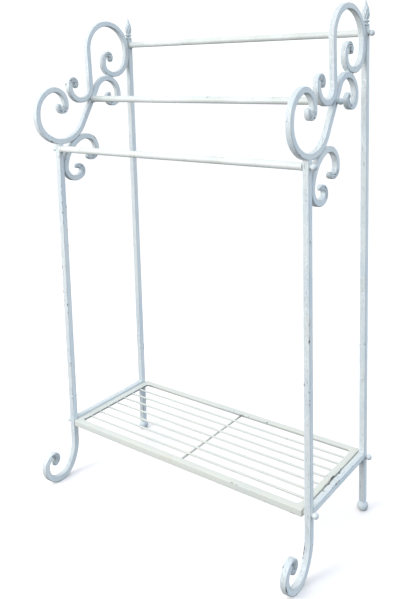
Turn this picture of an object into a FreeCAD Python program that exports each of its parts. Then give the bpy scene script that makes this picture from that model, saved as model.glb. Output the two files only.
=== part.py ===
import FreeCAD, Part
import math
import os

# Free-standing towel rack of forged and welded square bar, in millimetres.
# X runs along the towel rails, -Y is the front, +Z is up.  The origin is on the
# floor, under the middle of the rack's overall box.

doc = FreeCAD.newDocument("TowelRack")
sheet = doc.addObject("Spreadsheet::Sheet", "Dimensions")

DIMENSIONS = [
    ("frame_spacing", 572, "between the centre planes of the two side frames"),
    ("frame_depth", 207, "from the front leg's axis to the rear post's axis"),
    ("drawn_depth", 207, "frame depth for which the arms below are drawn"),
    ("bar_size", 12, "square bar of the legs, posts and crossbars"),
    ("scroll_bar", 11, "square bar of the scrolls"),
    ("leg_top", 700, "top of the front leg, where the lower scroll sits"),
    ("leg_cope", 1.5, "how far the leg's end reaches up round the scroll"),
    ("loop_clearance", 29.5, "between the lower scroll's small loop and the rear post"),
    ("post_above_touch", 30.3, "post's top above the point where the upper scroll touches it"),
    ("front_rail_drop", 9, "front rail's axis below the top of the leg"),
    ("middle_rail_back", 30, "middle rail's axis from the small loop, along the lower scroll"),
    ("top_rail_drop", 12, "top rail's axis below the top of the post"),
    ("rail_diameter", 12.7, "outside of the towel rails"),
    ("rail_wall", 1.2, "wall of the towel rails"),
    ("insert_length", 15, "threaded plug in each rail end"),
    ("ring_length", 4, "ring pressed on each rail end"),
    ("ring_wall", 1, "wall of that ring"),
    ("bolt_diameter", 4, "shank of the ball-headed bolts"),
    ("hole_clearance", 0.4, "bolt hole wider than the shank"),
    ("ball_diameter", 11, "ball head"),
    ("seat_diameter", 8, "flat seat under the ball"),
    ("seat_height", 1.5, "thickness of that seat"),
    ("ball_sink", 0.8, "how far the ball is let into its seat"),
    ("shelf_top", 117, "top face of the shelf"),
    ("shelf_overhang", 1.5, "shelf in front of the legs and behind the posts"),
    ("shelf_gap", 4, "between each side frame and the shelf"),
    ("angle_width", 12.5, "level flange of the shelf's angle iron"),
    ("angle_height", 12, "upright flange of the shelf's angle iron"),
    ("angle_wall", 2, "thickness of the angle iron"),
    ("shelf_bolt_drop", 6, "shelf bolts' axis below the shelf's top face"),
    ("nut_diameter", 7.8, "round weld nut inside the shelf"),
    ("nut_length", 4, "length of that nut"),
    ("shank_end", 1, "shank showing past the nut"),
    ("wire_diameter", 4, "shelf wires"),
    ("wire_count", 7, "lengthwise wires"),
    ("crossbar_rise", 2.5, "crossbar's top above the shelf's top"),
    ("foot_diameter", 21, "ball of the rear foot"),
    ("foot_base", 13, "flat under the rear foot"),
    ("foot_neck", 12, "neck of the rear foot"),
    ("foot_neck_height", 2.1, "neck above the foot's ball"),
    ("finial_diameter", 15, "widest part of the bud"),
    ("finial_collar", 15, "diameter of the collars under the bud"),
    ("finial_neck", 10, "waist between the collars"),
    ("collar_height", 4.5, "height of each collar"),
    ("collar_gap", 2, "waist showing between the collars"),
    ("bud_height", 35, "bud above the upper collar"),
    ("bud_widest", 11, "bud's widest part above the upper collar"),
    ("tip_diameter", 2.4, "rounded tip of the bud"),
    ("lower_scroll_offset", 7, "lower scroll's lowest point behind the leg's axis"),
]

# Arms of the scrolls, each followed away from the point where the scroll touches
# its neighbour: ("arc", radius, turn in degrees, + is towards the left hand) or
# ("line", length).  They are drawn for drawn_depth and scaled to the frame's depth.
ARMS = {
    "lower_rise": [("arc", 62, 60)],
    "lower_rear": [("arc", 32.5, -150), ("line", 4), ("arc", 17, -140), ("arc", 8.5, -110)],
    "lower_front": [("arc", 62, -44), ("arc", 48, -46), ("line", 5), ("arc", 48, -70),
                    ("arc", 29, -112), ("line", 5), ("arc", 8.5, -185)],
    "upper_over": [("line", 5), ("arc", 55.5, 86), ("arc", 55, 96)],
    "upper_curl": [("arc", 26, -85), ("arc", 29, -97), ("line", 5), ("arc", 8.5, -210)],
    "upper_under": [("arc", 57, -24), ("arc", 38, -96), ("arc", 20, -60), ("line", 3),
                    ("arc", 20, -58), ("arc", 8, -150)],
    "bracket_low": [("arc", 25, 126), ("arc", 11, 119), ("arc", 11, 38)],
    "bracket_high": [("arc", 27, -10), ("arc", 70, -54), ("arc", 36.5, -41), ("arc", 28, -87),
                     ("arc", 15, -60), ("arc", 13, -60)],
    "foot_curl": [("arc", 90, -34), ("arc", 34.5, -150), ("arc", 20, -80), ("arc", 9.5, -160)],
}

ALIASES = []
TOUCHING = 0.0001


def fill_sheet():
    for alias, value, note in DIMENSIONS:
        write_row(alias, value, note)
    for arm, spans in ARMS.items():
        for number, (kind, *values) in enumerate(spans, start=1):
            words = ("radius", "turn") if kind == "arc" else ("length",)
            for word, value in zip(words, values):
                scaled = value if word == "turn" else f"= {value} * frame_depth / drawn_depth"
                write_row(f"{arm}_{word}_{number}", scaled, f"span {number} of {arm}")
    doc.recompute()
    rail = middle_rail_point()
    write_row("middle_rail_y", rail.y, "worked out along the lower scroll")
    write_row("middle_rail_height", rail.z, "worked out along the lower scroll")
    write_row("post_top", post_top(), "worked out from the upper scroll")
    write_row("leg_axis_y", leg_axis_y(), "worked out, so that the origin is under the box's middle")
    write_row("foot_height", foot_heights()[2], "worked out from the foot's ball and neck")
    doc.recompute()


def write_row(alias, value, note):
    ALIASES.append(alias)
    row = len(ALIASES)
    sheet.set(f"A{row}", alias)
    sheet.set(f"B{row}", str(value))
    sheet.set(f"C{row}", note)
    sheet.setAlias(f"B{row}", alias)


def size(alias):
    return float(getattr(sheet, alias))


# ---------------------------------------------------------------- bent bars

def direction(heading):
    angle = math.radians(heading)
    return FreeCAD.Vector(0, math.cos(angle), math.sin(angle))


def left_of(heading):
    return direction(heading + 90)


class ArcSpan:
    """Round stretch of a bent bar's centre line, in the side frame's plane."""

    def __init__(self, start, heading, radius, turn):
        self.start, self.heading, self.radius, self.turn = start, heading, radius, turn
        self.side = math.copysign(radius, turn)
        self.centre = start + left_of(heading) * self.side
        self.length = radius * math.radians(abs(turn))

    def heading_at(self, share):
        return self.heading + self.turn * share

    def point(self, share, offset=0):
        return self.centre + left_of(self.heading_at(share)) * (offset - self.side)

    def edge(self, offset):
        return Part.Arc(*[self.point(share, offset) for share in (0, 0.5, 1)]).toShape()

    def flipped(self):
        return ArcSpan(self.point(1), self.heading_at(1) + 180, self.radius, -self.turn)


class LineSpan:
    """Straight stretch of a bent bar's centre line."""

    def __init__(self, start, heading, length):
        self.start, self.heading, self.length = start, heading, length

    def heading_at(self, share):
        return self.heading

    def point(self, share, offset=0):
        return self.start + direction(self.heading) * (self.length * share) + left_of(self.heading) * offset

    def edge(self, offset):
        return Part.LineSegment(self.point(0, offset), self.point(1, offset)).toShape()

    def flipped(self):
        return LineSpan(self.point(1), self.heading + 180, self.length)


def follow_arm(arm, start, heading):
    """The spans of one arm, each starting where the one before it ends."""
    spans = []
    for number, (kind, *_) in enumerate(ARMS[arm], start=1):
        if kind == "arc":
            radius = size(f"{arm}_radius_{number}")
            turn = size(f"{arm}_turn_{number}")
            spans.append(ArcSpan(start, heading, radius, turn))
        else:
            spans.append(LineSpan(start, heading, size(f"{arm}_length_{number}")))
        start = spans[-1].point(1)
        heading = spans[-1].heading_at(1)
    return spans


def join_arms(back_arm, front_arm):
    """One run of spans from the far end of back_arm to the far end of front_arm."""
    return [span.flipped() for span in reversed(back_arm)] + front_arm


def centre_line(spans):
    return Part.Wire([span.edge(0) for span in spans])


def end_cap(span, share, half, outwards, rounded):
    corners = [span.point(share, half), span.point(share, -half)]
    if not rounded:
        return Part.LineSegment(*corners).toShape()
    tip = span.point(share) + direction(span.heading_at(share)) * (half * outwards)
    return Part.Arc(corners[0], tip, corners[1]).toShape()


def bent_bar(spans, width, rounded_start=True):
    """Square bar along the spans, its thickness running from x = 0 to x = width."""
    half = width / 2
    edges = [span.edge(half) for span in spans]
    edges.append(end_cap(spans[-1], 1, half, 1, True))
    edges += [span.edge(-half) for span in reversed(spans)]
    edges.append(end_cap(spans[0], 0, half, -1, rounded_start))
    outline = Part.Face(Part.Wire(Part.__sortEdges__(edges)))
    return outline.extrude(FreeCAD.Vector(width, 0, 0))


def touching_height(fixed, moving, gap):
    """Height of moving's centre so that the two round stretches touch back to back,
    with moving above (gap > 0) or below (gap < 0) the fixed one."""
    reach = fixed.radius + moving.radius + abs(gap)
    across = moving.centre.y - fixed.centre.y
    return fixed.centre.z + math.copysign(math.sqrt(reach ** 2 - across ** 2), gap)


def shifted(spans, rise):
    """The same spans, raised."""
    lift = FreeCAD.Vector(0, 0, rise)
    raised = []
    for span in spans:
        if isinstance(span, ArcSpan):
            raised.append(ArcSpan(span.start + lift, span.heading, span.radius, span.turn))
        else:
            raised.append(LineSpan(span.start + lift, span.heading, span.length))
    return raised


def lower_scroll_arms():
    """Both arms of the lower scroll, followed from where it rests on the leg.  Its straight
    bar is as long as it takes to bring the small loop back to the rear post."""
    rest = FreeCAD.Vector(0, size("lower_scroll_offset"), size("leg_top") + size("scroll_bar") / 2)
    rise = follow_arm("lower_rise", rest, 0)[0]
    bend, heading = rise.point(1), rise.heading_at(1)
    small_loop = follow_arm("lower_rear", bend, heading)[0]
    back = small_loop.centre.y + small_loop.radius + size("scroll_bar") / 2
    room = size("frame_depth") - size("bar_size") / 2 - size("loop_clearance") - back
    straight = LineSpan(bend, heading, room / direction(heading).y)
    loops = follow_arm("lower_rear", straight.point(1), heading)
    return follow_arm("lower_front", rest, 180), [rise, straight] + loops


def lower_scroll_spans():
    """Big loop in front, resting on the leg, and a smaller loop behind."""
    return join_arms(*lower_scroll_arms())


def lower_scroll_rear():
    """The underside of the lower scroll's big loop, its straight bar and its small loop."""
    return lower_scroll_arms()[1][:3]


def middle_rail_point():
    """The middle rail is bolted to the lower scroll, a set way back from its small loop."""
    back = size("middle_rail_back")
    big_loop, straight = lower_scroll_rear()[:2]
    if back <= straight.length:
        return straight.point(1 - back / straight.length)
    return big_loop.point(1 - (back - straight.length) / big_loop.length)


def upper_scroll_arms():
    """Tall loop against the post, standing on the lower scroll's small loop: the arm under
    the point where it touches the post, and the arm over it."""
    bar = size("scroll_bar")
    touch = FreeCAD.Vector(0, size("frame_depth") - (size("bar_size") + bar) / 2, 0)
    under = follow_arm("upper_under", touch, 270)
    small_loop = lower_scroll_rear()[2]
    rise = touching_height(small_loop, under[1], bar) - under[1].centre.z
    under = shifted(under, rise)
    return under, shifted(follow_arm("upper_over", touch, 90), rise)


def post_top():
    return upper_scroll_arms()[1][0].start.z + size("post_above_touch")


def upper_scroll_spans():
    """From the tall loop the bar falls until its curl meets the lower scroll: a fall by
    the gap that is left never goes too far, so it is repeated until they touch."""
    under, over = upper_scroll_arms()
    start, heading = over[-1].point(1), over[-1].heading_at(1)
    lower = centre_line(lower_scroll_spans())
    length, gap = 0, math.inf
    while gap > TOUCHING:
        fall = LineSpan(start, heading, length)
        curl = follow_arm("upper_curl", fall.point(1), heading)
        gap = centre_line(curl).distToShape(lower)[0] - size("scroll_bar")
        length += max(gap, 0)
    return join_arms(under, over + [fall] + curl)


def bracket_scroll_spans():
    """Small C between the back of the leg and the underside of the lower scroll."""
    bar = size("scroll_bar")
    touch = FreeCAD.Vector(0, (size("bar_size") + bar) / 2, 0)
    low = follow_arm("bracket_low", touch, 270)
    high = follow_arm("bracket_high", touch, 90)
    big_loop = lower_scroll_rear()[0]
    rise = touching_height(big_loop, high[1], -bar) - high[1].centre.z
    return join_arms(shifted(high, rise), shifted(low, rise))


def front_leg_spans():
    """Straight leg that curls forward at the floor."""
    curl = follow_arm("foot_curl", FreeCAD.Vector(0, 0, 0), 270)
    lowest = curl[1].centre.z - curl[1].radius
    bend_height = size("bar_size") / 2 - lowest
    top = size("leg_top") + size("leg_cope")
    shaft = LineSpan(FreeCAD.Vector(0, 0, top), 270, top - bend_height)
    return [shaft] + shifted(curl, bend_height)


def leg_axis_y():
    """Y of the front legs' axis: the box runs from the foot curls to the rear feet."""
    curl = front_leg_spans()[2]
    front = curl.centre.y - curl.radius - size("bar_size") / 2
    rear = size("frame_depth") + size("foot_diameter") / 2
    return -(front + rear) / 2


# ------------------------------------------------------------ document objects

PARTS = []


def bind(feature, **expressions):
    """Ties properties to the sheet; a double underscore in a name stands for a dot."""
    for path, expression in expressions.items():
        feature.setExpression(path.replace("__", "."), in_sheet(expression))
    return feature


def in_sheet(expression):
    """Spreadsheet aliases in an expression, written with their sheet's name."""
    words = expression.replace("(", " ( ").replace(")", " ) ").split()
    return " ".join(f"Dimensions.{word}" if word in ALIASES else word for word in words)


def helper(kind, name, **expressions):
    """A shape that only serves to build a sub-part."""
    return bind(doc.addObject(kind, name), **expressions)


def sub_part(feature, name):
    """Marks a document object as one of the rack's pieces."""
    feature.Label = name
    PARTS.append(feature)
    return feature


def place(feature, x="0", y="0", z="0"):
    """Binds the placement's base; y is measured from the front legs' axis."""
    return bind(feature, Placement__Base__x=x, Placement__Base__y=f"leg_axis_y + {y}",
                Placement__Base__z=z)


def box(name, length, width, height, **base):
    feature = helper("Part::Box", name, Length=length, Width=width, Height=height)
    return place(feature, **base)


def rod_along_x(name, diameter, length, **base):
    """Cylinder whose axis points along +X from its base."""
    feature = helper("Part::Cylinder", name, Radius=f"({diameter}) / 2", Height=length)
    feature.Placement.Rotation = FreeCAD.Rotation(FreeCAD.Vector(0, 1, 0), 90)
    return place(feature, **base)


def cut(name, base, tool):
    feature = doc.addObject("Part::Cut", name)
    feature.Base = base
    feature.Tool = tool
    return feature


def group(kind, name, members):
    feature = doc.addObject(kind, name)
    setattr(feature, "Links" if kind == "Part::Compound" else "Shapes", members)
    return feature


def shape_feature(name, solid, **base):
    """A shape worked out in this file, placed by the sheet."""
    feature = doc.addObject("Part::Feature", name)
    feature.Shape = solid
    return place(feature, **base)


# ------------------------------------------------------------------ side frames

SIDES = {"left": -1, "right": 1}
HOLE = "bolt_diameter + hole_clearance"
INSIDE = "( frame_spacing - bar_size ) / 2"


def frame_plane(side):
    return f"{SIDES[side]} * frame_spacing / 2"


def bar_start(side, bar):
    """Low side in X of a bar; all the bars of a side frame are flush on the inside."""
    return INSIDE if side == "right" else f"- {INSIDE} - {bar}"


def bolt_hole(name, side, y, z):
    """Drill through a side frame, longer than the bar is wide."""
    start = f"{frame_plane(side)} - bar_size"
    return rod_along_x(name, HOLE, "2 * bar_size", x=start, y=y, z=z)


def front_leg(side, lower_scroll):
    blank = shape_feature(f"{side}_leg_blank", bent_bar(front_leg_spans(), size("bar_size"), False),
                          x=bar_start(side, "bar_size"))
    coped = cut(f"{side}_leg_coped", blank, lower_scroll)
    holes = [bolt_hole(f"{side}_leg_rail_hole", side, "0", "leg_top - front_rail_drop"),
             bolt_hole(f"{side}_leg_shelf_hole", side, "0", "shelf_top - shelf_bolt_drop")]
    drilled = cut(f"{side}_leg_drilled", coped, group("Part::MultiFuse", f"{side}_leg_holes", holes))
    return sub_part(drilled, f"{side}_front_leg")


def rear_post(side):
    blank = box(f"{side}_post_blank", "bar_size", "bar_size", "post_top - foot_height",
                x=bar_start(side, "bar_size"), y="frame_depth - bar_size / 2",
                z="foot_height")
    holes = [bolt_hole(f"{side}_post_rail_hole", side, "frame_depth", "post_top - top_rail_drop"),
             bolt_hole(f"{side}_post_shelf_hole", side, "frame_depth", "shelf_top - shelf_bolt_drop")]
    drilled = cut(f"{side}_post_drilled", blank, group("Part::MultiFuse", f"{side}_post_holes", holes))
    return sub_part(drilled, f"{side}_rear_post")


def crossbar(side):
    bar = box(f"{side}_crossbar_bar", "bar_size", "frame_depth - bar_size", "bar_size",
              x=bar_start(side, "bar_size"), y="bar_size / 2",
              z="shelf_top + crossbar_rise - bar_size")
    return sub_part(bar, f"{side}_crossbar")


def lower_scroll(side):
    blank = shape_feature(f"{side}_lower_scroll_blank", bent_bar(lower_scroll_spans(), size("scroll_bar")),
                          x=bar_start(side, "scroll_bar"))
    hole = bolt_hole(f"{side}_lower_scroll_hole", side, "middle_rail_y", "middle_rail_height")
    return sub_part(cut(f"{side}_lower_scroll_drilled", blank, hole), f"{side}_lower_scroll")


def plain_scroll(side, name, spans):
    bar = shape_feature(f"{side}_{name}_bar", bent_bar(spans, size("scroll_bar")),
                        x=bar_start(side, "scroll_bar"))
    return sub_part(bar, f"{side}_{name}")


def turned(outline):
    """Solid of revolution about Z from (radius, height) corners; a corner with a third
    value is the middle of a round stretch between its neighbours."""
    points = [FreeCAD.Vector(corner[0], 0, corner[1]) for corner in outline]
    edges = []
    index = 0
    while index < len(outline) - 1:
        if len(outline[index + 1]) == 3:
            edges.append(Part.Arc(*points[index:index + 3]).toShape())
            index += 2
        else:
            edges.append(Part.LineSegment(points[index], points[index + 1]).toShape())
            index += 1
    edges.append(Part.LineSegment(points[-1], points[0]).toShape())
    profile = Part.Face(Part.Wire(edges))
    return profile.revolve(FreeCAD.Vector(0, 0, 0), FreeCAD.Vector(0, 0, 1), 360)


def foot_heights():
    """Heights of the middle of the foot's ball, of the bottom of its neck and of its top."""
    ball, base, neck = size("foot_diameter") / 2, size("foot_base") / 2, size("foot_neck") / 2
    middle = math.sqrt(ball ** 2 - base ** 2)
    neck_start = middle + math.sqrt(ball ** 2 - neck ** 2)
    return middle, neck_start, neck_start + size("foot_neck_height")


def rear_foot(side):
    """Cast foot, a ball with a flat under it and a short neck, welded under the post."""
    middle, neck_start, top = foot_heights()
    neck = size("foot_neck") / 2
    outline = [(0, 0), (size("foot_base") / 2, 0), (size("foot_diameter") / 2, middle, "round"),
               (neck, neck_start), (neck, top), (0, top)]
    foot = shape_feature(f"{side}_foot_casting", turned(outline), x=frame_plane(side), y="frame_depth")
    return sub_part(foot, f"{side}_rear_foot")


def finial(side):
    """Cast bud on two ring collars, welded on the post."""
    collar, neck, bud = size("finial_collar") / 2, size("finial_neck") / 2, size("finial_diameter") / 2
    second = size("collar_height") + size("collar_gap")
    bud_base = second + size("collar_height")
    tip = bud_base + size("bud_height")
    outline = [(0, 0), (neck, 0), (collar, size("collar_height") / 2, "round"),
               (neck, size("collar_height")), (neck, second),
               (collar, second + size("collar_height") / 2, "round"), (neck, bud_base),
               (bud, bud_base + size("bud_widest"), "round"),
               (size("tip_diameter") / 2, tip), (0, tip)]
    bud_casting = shape_feature(f"{side}_finial_casting", turned(outline), x=frame_plane(side),
                                y="frame_depth", z="post_top")
    return sub_part(bud_casting, f"{side}_finial")


def build_side_frame(side):
    front_leg(side, lower_scroll(side))
    rear_post(side)
    crossbar(side)
    plain_scroll(side, "upper_scroll", upper_scroll_spans())
    plain_scroll(side, "bracket_scroll", bracket_scroll_spans())
    rear_foot(side)
    finial(side)


# ----------------------------------------------------------------- towel rails

def rails():
    """Name, the bar it is bolted to, and the axis's place in Y and Z."""
    return [("top", "bar_size", "frame_depth", "post_top - top_rail_drop"),
            ("middle", "scroll_bar", "middle_rail_y", "middle_rail_height"),
            ("front", "bar_size", "0", "leg_top - front_rail_drop")]


def towel_rail(name, y, z):
    length = "frame_spacing - bar_size"
    start = f"- {INSIDE}"
    outside = rod_along_x(f"{name}_rail_outside", "rail_diameter", length, x=start, y=y, z=z)
    inside = rod_along_x(f"{name}_rail_inside", "rail_diameter - 2 * rail_wall", length,
                         x=start, y=y, z=z)
    sub_part(cut(f"{name}_rail_tube", outside, inside), f"{name}_towel_rail")


def at_both_ends(name, outer, inner, length, y, z):
    """A ring or plug at each end of a rail, as one group of two solids."""
    ends = []
    for side, sign in SIDES.items():
        start = f"{INSIDE} - {length}" if sign > 0 else f"- {INSIDE}"
        ends.append(cut(f"{side}_{name}_end",
                        rod_along_x(f"{side}_{name}_outside", outer, length, x=start, y=y, z=z),
                        rod_along_x(f"{side}_{name}_inside", inner, length, x=start, y=y, z=z)))
    sub_part(group("Part::Compound", f"{name}_pair", ends), name)


def ball_bolt(name, side, bar, shank, y, z):
    """Ball-headed bolt seated on the outside of a side frame, its shank pointing inwards."""
    sign = SIDES[side]
    face = f"{sign} * ( {INSIDE} + {bar} )"
    seat_start = face if sign > 0 else f"{face} - seat_height"
    shank_start = f"{face} - {shank}" if sign > 0 else face
    ball = helper("Part::Sphere", f"{name}_ball", Radius="ball_diameter / 2")
    # The sphere's seam is kept on its outside, clear of the seat.
    ball.Placement.Rotation = FreeCAD.Rotation(FreeCAD.Vector(0, 0, 1), 90 - 90 * sign)
    place(ball, x=f"{face} + {sign} * ( seat_height + ball_diameter / 2 - ball_sink )", y=y, z=z)
    pieces = [ball, rod_along_x(f"{name}_seat", "seat_diameter", "seat_height", x=seat_start, y=y, z=z),
              rod_along_x(f"{name}_shank", "bolt_diameter", shank, x=shank_start, y=y, z=z)]
    sub_part(group("Part::MultiFuse", f"{name}_bolt", pieces), name)


def build_rails():
    for name, bar, y, z in rails():
        towel_rail(name, y, z)
        at_both_ends(f"{name}_rail_inserts", "rail_diameter - 2 * rail_wall", "bolt_diameter",
                     "insert_length", y, z)
        at_both_ends(f"{name}_rail_rings", "rail_diameter + 2 * ring_wall", "rail_diameter",
                     "ring_length", y, z)
        for side in SIDES:
            ball_bolt(f"{side}_{name}_rail_bolt", side, bar, f"( {bar} + insert_length )", y, z)


# ----------------------------------------------------------------------- shelf

SHELF_LENGTH = "( frame_spacing - bar_size - 2 * shelf_gap )"
SHELF_DEPTH = "( frame_depth + bar_size + 2 * shelf_overhang )"


def shelf_length():
    return size("frame_spacing") - size("bar_size") - 2 * size("shelf_gap")


def shelf_depth():
    return size("frame_depth") + size("bar_size") + 2 * size("shelf_overhang")


def mitred_strip(length, width, height):
    """Strip along X with its outer edge on y = 0, cut at 45 degrees towards the middle."""
    half = length / 2
    corners = [(-half, 0), (half, 0), (half - width, width), (-half + width, width), (-half, 0)]
    face = Part.Face(Part.makePolygon([FreeCAD.Vector(x, y, 0) for x, y in corners]))
    return face.extrude(FreeCAD.Vector(0, 0, -height))


def angle_iron(length):
    """Angle iron with mitred ends, its outer corner line along X at y = 0, z = 0."""
    level = mitred_strip(length, size("angle_width"), size("angle_wall"))
    upright = mitred_strip(length, size("angle_wall"), size("angle_height"))
    return level.fuse(upright).removeSplitter()


def shelf_rail(name, length, turn, **base):
    feature = doc.addObject("Part::Feature", f"{name}_angle")
    feature.Shape = angle_iron(length)
    feature.Placement.Rotation = FreeCAD.Rotation(FreeCAD.Vector(0, 0, 1), turn)
    place(feature, **base)
    sub_part(feature, name)


def shelf_frame():
    middle = "frame_depth / 2"
    shelf_rail("shelf_front_rail", shelf_length(), 0, y=f"{middle} - {SHELF_DEPTH} / 2", z="shelf_top")
    shelf_rail("shelf_rear_rail", shelf_length(), 180, y=f"{middle} + {SHELF_DEPTH} / 2", z="shelf_top")
    shelf_rail("shelf_left_rail", shelf_depth(), -90, x=f"- {SHELF_LENGTH} / 2", y=middle, z="shelf_top")
    shelf_rail("shelf_right_rail", shelf_depth(), 90, x=f"{SHELF_LENGTH} / 2", y=middle, z="shelf_top")


def shelf_wires():
    """Wires welded under the level flanges, between the upright ones."""
    inside = f"( {SHELF_LENGTH} - 2 * angle_wall )"
    pitch = f"( {SHELF_DEPTH} - 2 * angle_width ) / ( wire_count + 1 )"
    level = "shelf_top - angle_wall - wire_diameter / 2"
    first_gap = f"frame_depth / 2 - {SHELF_DEPTH} / 2 + angle_width"
    for number in range(1, int(size("wire_count")) + 1):
        wire = rod_along_x(f"shelf_wire_{number}_rod", "wire_diameter", inside, x=f"- {inside} / 2",
                           y=f"{first_gap} + {number} * {pitch}", z=level)
        sub_part(wire, f"shelf_wire_{number}")
    across = f"( {SHELF_DEPTH} - 2 * angle_wall )"
    cross = helper("Part::Cylinder", "shelf_cross_wire_rod", Radius="wire_diameter / 2", Height=across)
    cross.Placement.Rotation = FreeCAD.Rotation(FreeCAD.Vector(1, 0, 0), -90)
    place(cross, y=f"frame_depth / 2 - {across} / 2", z=f"{level} - wire_diameter")
    sub_part(cross, "shelf_cross_wire")


def shelf_corners():
    """Name, side and Y of the four bolted corners."""
    return [(f"{side}_{row}", side, y) for side in SIDES
            for row, y in (("front", "0"), ("rear", "frame_depth"))]


def corner_rings(name, outer, inner, length, offset):
    """One ring at each corner; offset is its outer end, inwards of the side frame."""
    rings = []
    height = "shelf_top - shelf_bolt_drop"
    for corner, side, y in shelf_corners():
        sign = SIDES[side]
        outer_end = f"{frame_plane(side)} - {sign} * ( {offset} )"
        start = f"{outer_end} - {length}" if sign > 0 else outer_end
        rings.append(cut(f"{corner}_{name}_ring",
                         rod_along_x(f"{corner}_{name}_outside", outer, length, x=start, y=y, z=height),
                         rod_along_x(f"{corner}_{name}_inside", inner, length, x=start, y=y, z=height)))
    sub_part(group("Part::Compound", f"{name}_group", rings), name)


def drill_shelf_ends():
    """Replaces the shelf's end rails by drilled ones."""
    for side in SIDES:
        rail = next(part for part in PARTS if part.Label == f"shelf_{side}_rail")
        PARTS.remove(rail)
        rail.Label = f"shelf_{side}_angle"
        start = f"{SIDES[side]} * {SHELF_LENGTH} / 2 - bar_size / 2"
        holes = [rod_along_x(f"shelf_{corner}_hole", HOLE, "bar_size", x=start, y=y,
                             z="shelf_top - shelf_bolt_drop")
                 for corner, hole_side, y in shelf_corners() if hole_side == side]
        tool = group("Part::MultiFuse", f"shelf_{side}_holes", holes)
        sub_part(cut(f"shelf_{side}_drilled", rail, tool), f"shelf_{side}_rail")


def build_shelf():
    shelf_frame()
    drill_shelf_ends()
    shelf_wires()
    corner_rings("shelf_spacers", "seat_diameter", HOLE, "shelf_gap", "bar_size / 2")
    corner_rings("shelf_weld_nuts", "nut_diameter", "bolt_diameter", "nut_length",
                 "bar_size / 2 + shelf_gap + angle_wall")
    shank = "( bar_size + shelf_gap + angle_wall + nut_length + shank_end )"
    for corner, side, y in shelf_corners():
        ball_bolt(f"{corner}_shelf_bolt", side, "bar_size", shank, y, "shelf_top - shelf_bolt_drop")


# ---------------------------------------------------------------- checks, files

def check_document():
    """Stops before anything is written if an object failed."""
    failed = [feature.Name for feature in doc.Objects if {"Invalid", "Error"} & set(feature.State)]
    if failed:
        raise RuntimeError(f"failed objects: {failed}")
    for part in PARTS:
        if part.Shape.isNull() or not part.Shape.isValid() or part.Shape.Volume <= 0:
            raise RuntimeError(f"bad shape: {part.Label}")


def write_parts():
    os.makedirs("parts", exist_ok=True)
    for part in PARTS:
        part.Shape.exportStep(os.path.join("parts", f"{part.Label}.step"))
        print(f"{part.Label}: {len(part.Shape.Solids)} solid, {part.Shape.Volume:.0f} mm3")


fill_sheet()
for side_name in SIDES:
    build_side_frame(side_name)
build_rails()
build_shelf()
doc.recompute()
check_document()
write_parts()
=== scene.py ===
import math
import bmesh
import bpy
from mathutils import Matrix, Vector


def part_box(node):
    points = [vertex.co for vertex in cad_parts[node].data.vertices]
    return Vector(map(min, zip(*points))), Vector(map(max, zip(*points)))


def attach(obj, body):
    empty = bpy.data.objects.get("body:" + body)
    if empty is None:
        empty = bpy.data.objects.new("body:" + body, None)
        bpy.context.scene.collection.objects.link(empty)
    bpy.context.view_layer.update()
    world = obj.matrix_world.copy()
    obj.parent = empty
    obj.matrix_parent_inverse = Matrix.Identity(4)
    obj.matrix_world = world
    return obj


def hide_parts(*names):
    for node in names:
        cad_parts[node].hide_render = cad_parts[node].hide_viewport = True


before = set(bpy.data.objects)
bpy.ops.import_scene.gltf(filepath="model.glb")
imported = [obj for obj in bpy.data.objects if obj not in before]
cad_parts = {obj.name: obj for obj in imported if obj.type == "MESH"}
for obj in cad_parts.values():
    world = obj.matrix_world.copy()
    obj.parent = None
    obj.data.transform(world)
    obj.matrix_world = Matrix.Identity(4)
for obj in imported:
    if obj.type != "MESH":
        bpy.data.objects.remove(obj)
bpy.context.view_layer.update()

# ------------------------------------------------------------------------ studio
# A pale seamless floor, a white room round it that is cooler on the right and darker below, and a
# soft box on the left.  The rack is seen from the right of its front with a slightly long lens.

CAMERA_PLACE = (0.8058, -0.9735, 0.8344)
CAMERA_YAW, CAMERA_PITCH, CAMERA_ROLL = 34.17, -7.72, -0.89
LENS_MM = 40.98
LENS_SHIFT = (-0.0789, -0.2225)
FLOOR_RADIUS = 40.0
FLOOR_COLOUR = (0.99, 0.94, 0.93, 1)
ROOM_ABOVE = (1.12, 1.17, 1.19, 1)
ROOM_RIGHT = (0.86, 1.00, 1.16, 1)
ROOM_BELOW = (0.15, 0.155, 0.16, 1)
RIGHT_SPAN = (0.0, 0.6)
BELOW_SPAN = (-0.25, -0.02)
KEY_SIZE, KEY_WATTS, KEY_COLOUR = (1.0, 1.0), 27, (1.0, 1.0, 0.99)

bpy.context.scene.view_settings.view_transform = "Standard"


def studio_camera():
    camera = bpy.data.cameras.new("camera")
    camera.lens = LENS_MM
    camera.shift_x, camera.shift_y = LENS_SHIFT
    holder = bpy.data.objects.new("camera", camera)
    bpy.context.scene.collection.objects.link(holder)
    turn = (Matrix.Rotation(math.radians(CAMERA_YAW), 4, "Z")
            @ Matrix.Rotation(math.radians(90 + CAMERA_PITCH), 4, "X")
            @ Matrix.Rotation(math.radians(CAMERA_ROLL), 4, "Z"))
    holder.matrix_world = Matrix.Translation(CAMERA_PLACE) @ turn
    bpy.context.scene.camera = holder


def soft_box(name, place, aim, size, watts, colour):
    light = bpy.data.lights.new(name, "AREA")
    light.shape = "RECTANGLE"
    light.size, light.size_y = size
    light.energy = watts
    light.color = colour
    holder = bpy.data.objects.new(name, light)
    bpy.context.scene.collection.objects.link(holder)
    holder.location = place
    holder.rotation_euler = (Vector(aim) - Vector(place)).to_track_quat("-Z", "Y").to_euler()


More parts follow.
